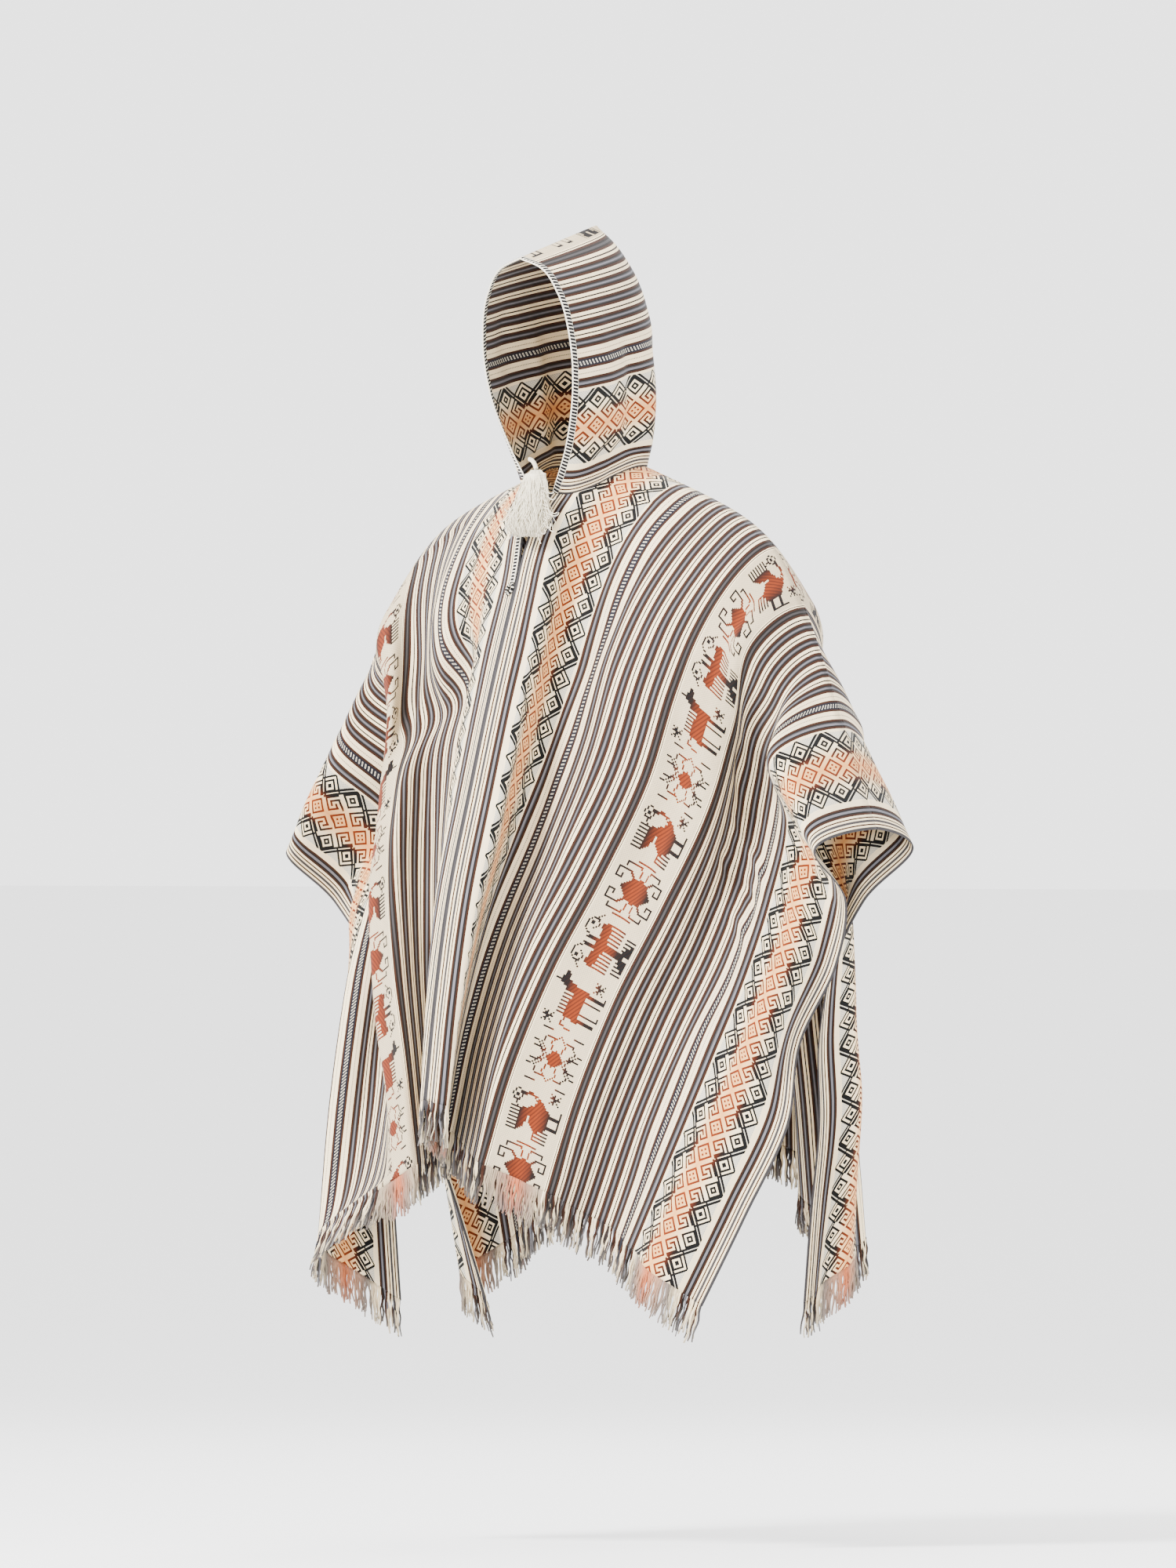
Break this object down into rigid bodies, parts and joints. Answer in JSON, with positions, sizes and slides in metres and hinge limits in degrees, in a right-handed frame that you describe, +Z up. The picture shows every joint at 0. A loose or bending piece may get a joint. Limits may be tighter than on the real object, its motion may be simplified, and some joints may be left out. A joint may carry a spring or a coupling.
{
  "type": "hooded andean poncho, worn",
  "caption": "Hooded poncho of striped and figured warp-faced cloth, draped as worn, open at face, neck, arms and hem, with edging braid, a throat tassel and warp fringe.",
  "frame": {"origin": "between the wearer's shoulders, at the level of the neck hole's front edge, on the middle plane", "axes": "+Z up, -Y the way the wearer faces, +X towards the wearer's left"},
  "size_m": [0.9336, 0.6066, 1.4937],
  "materials": {
    "cloth": "matte warp-faced weave, cream with brown, grey-blue and orange stripes and figured bands",
    "braid": "matte woven tape, white with black slanted bars",
    "wool": "matte, fluffy, off-white",
    "fringe": "matte twisted warps in the cloth's colours"
  },
  "bodies": {
    "root": {"front_left": "cloth", "front_right": "cloth", "back_left": "cloth", "back_right": "cloth", "hood_left": "cloth", "hood_right": "cloth", "hood_braid": "braid", "slit_braid": "braid", "tassel": "wool", "tassel_tie": "wool", "fringe_front_left": "fringe", "fringe_front_right": "fringe", "fringe_back_left": "fringe", "fringe_back_right": "fringe"}
  },
  "joints": []
}
